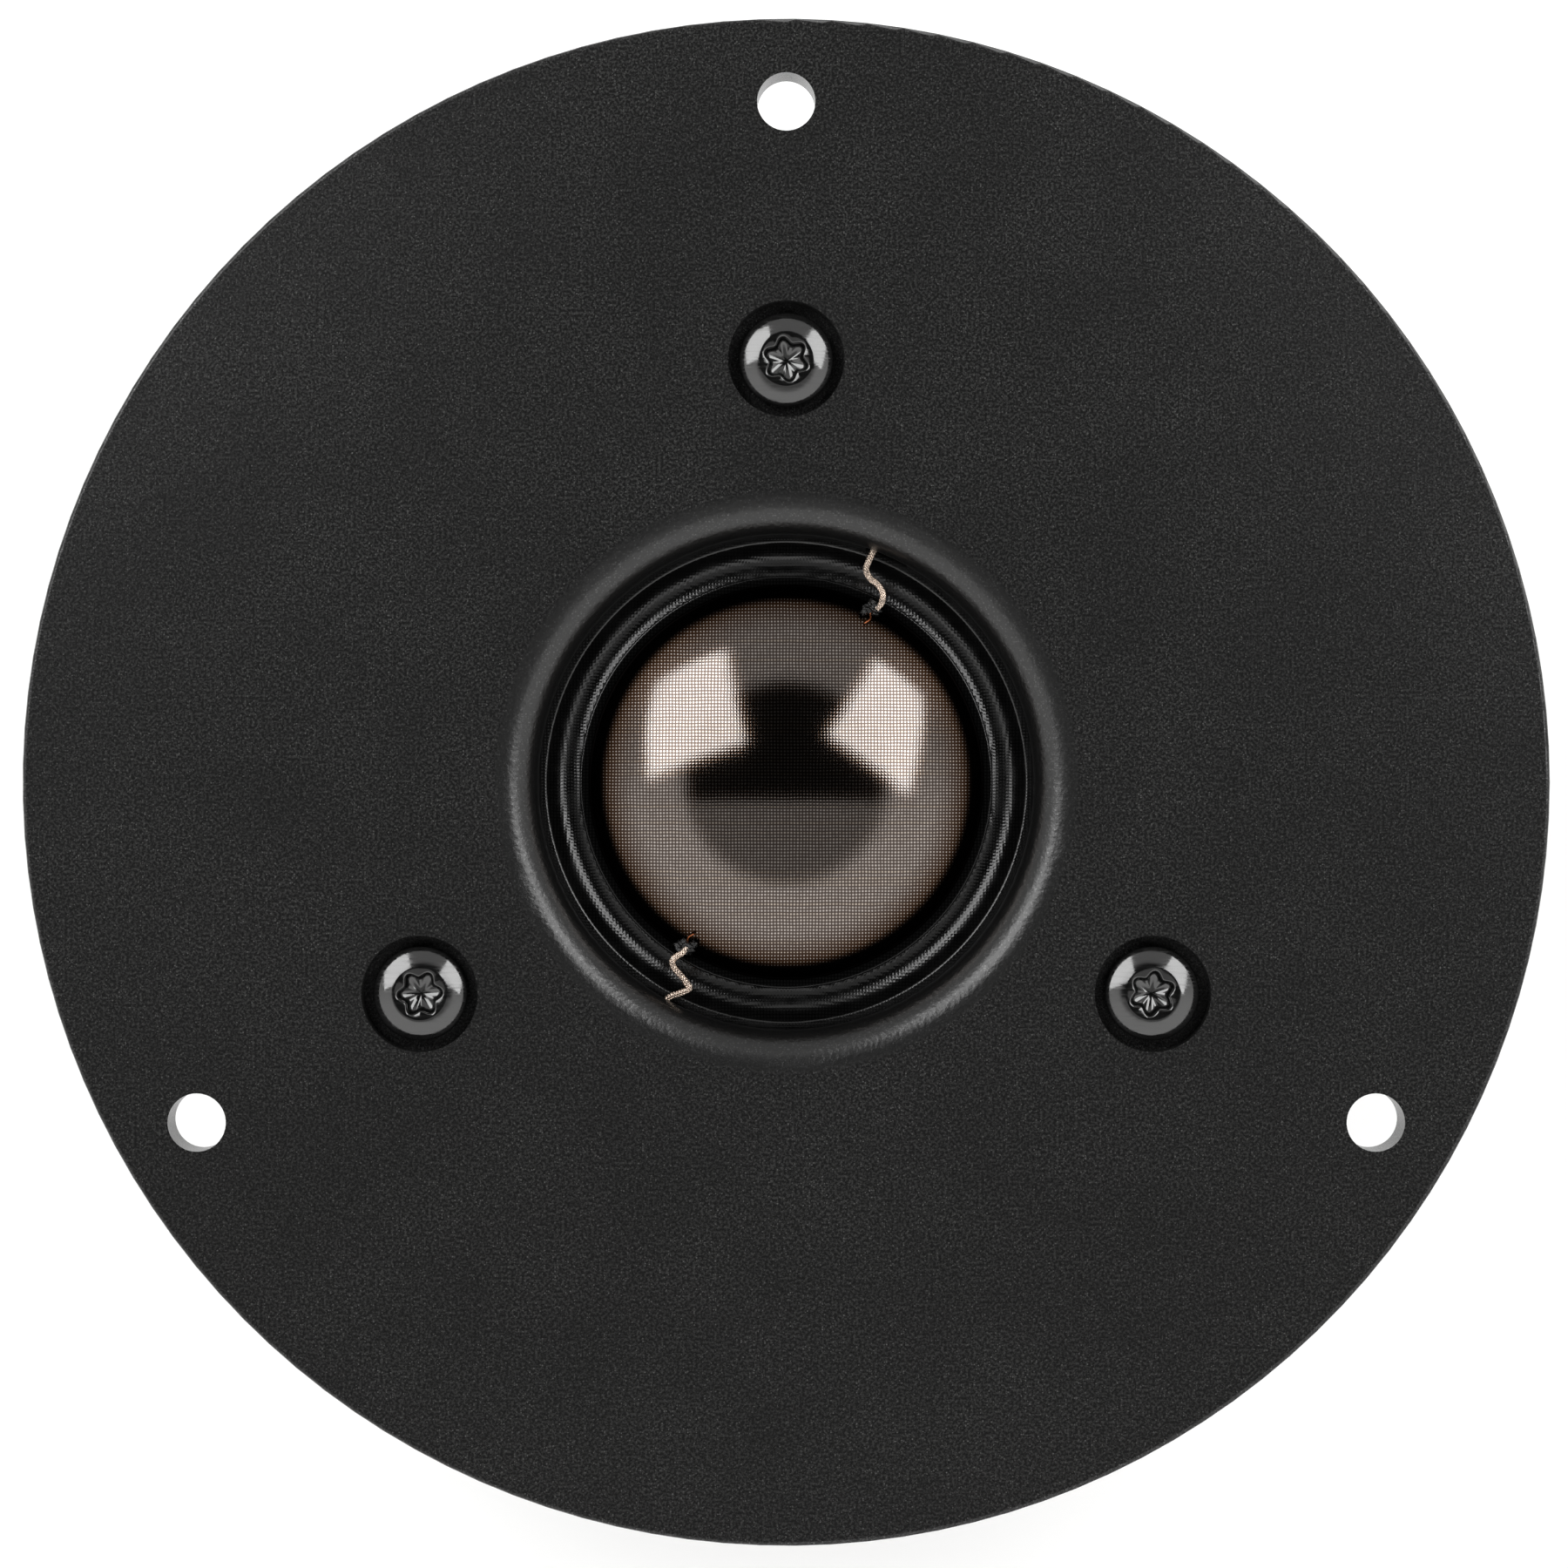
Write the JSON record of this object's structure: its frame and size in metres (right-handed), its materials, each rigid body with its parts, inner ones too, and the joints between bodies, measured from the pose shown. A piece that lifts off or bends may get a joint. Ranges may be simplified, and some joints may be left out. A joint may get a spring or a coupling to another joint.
{
  "type": "dome tweeter",
  "caption": "Soft-dome tweeter on a round screw-down flange, with a ferrite motor, a closed rear chamber and push-on terminals; the dome and coil travel on a roll surround.",
  "frame": {"origin": "centre of the flange's rear face, where it seats on the panel", "axes": "+Z along the driver's axis toward the listener, +Y from the centre to the mounting hole opposite the terminals, +X to the right seen from the front"},
  "size_m": [0.11, 0.11, 0.0534],
  "materials": {
    "flange_coating": "dark grey powder coating with a fine metallic sparkle; orange-peel texture on the lip",
    "screw_black": "glossy black zinc",
    "foam": "closed-cell foam",
    "gasket_paper": "pressed fibre",
    "ring_plastic": "glass-filled nylon",
    "pin_steel": "ground",
    "surround_cloth": "black woven cloth, rubber coated",
    "tinsel": "braided tinsel, copper toned",
    "lug_brass": "stamped",
    "solder": "bright solder",
    "wire_red": "smooth insulation",
    "wire_black": "smooth insulation",
    "block_plastic": "moulded, fine grain",
    "tab_tin": "tinned brass",
    "zinc_steel": "zinc plated",
    "plate_steel": "zinc plated and turned",
    "ferrite": "ground ferrite",
    "copper": "spun copper",
    "felt": "wool felt",
    "chamber_plastic": "moulded, satin with a fine grain",
    "wool": "loose fibre",
    "dome_cloth": "fine woven silk under a clear glossy coat",
    "former_aluminium": "thin foil",
    "coil_wire": "enamelled copper",
    "glue_black": "glossy black glue"
  },
  "bodies": {
    "chassis": {"faceplate": "flange_coating", "faceplate_screws": "screw_black", "flange_seal": "foam", "motor_gasket": "gasket_paper", "diaphragm_ring": "ring_plastic", "locating_pins": "pin_steel", "surround": "surround_cloth", "ring_contacts": "lug_brass", "contact_rivets": "lug_brass", "solder_joints": "solder", "lead_wire_positive": "wire_red", "lead_wire_negative": "wire_black", "terminal_block": "block_plastic", "terminal_tab_positive": "tab_tin", "terminal_tab_negative": "tab_tin", "terminal_screws": "zinc_steel", "top_plate": "plate_steel", "magnet": "ferrite", "yoke": "plate_steel", "copper_cap": "copper", "pole_damper": "felt", "chamber_gasket": "foam", "rear_chamber": "chamber_plastic", "chamber_screws": "screw_black", "chamber_wool": "wool"},
    "diaphragm": {"dome": "dome_cloth", "voice_coil_former": "former_aluminium", "voice_coil_winding": "coil_wire", "coil_tails": "coil_wire", "lead_glue_dots": "glue_black", "tinsel_lead_upper": "tinsel", "tinsel_lead_lower": "tinsel"}
  },
  "joints": [
    {"name": "diaphragm_travel", "type": "slide", "parent": "chassis", "child": "diaphragm", "axis": [0, 0, 1], "range_m": [-0.0005, 0.0005], "stiffness_N_per_m": 5000, "deforming": ["surround", "tinsel_lead_upper", "tinsel_lead_lower"]}
  ]
}
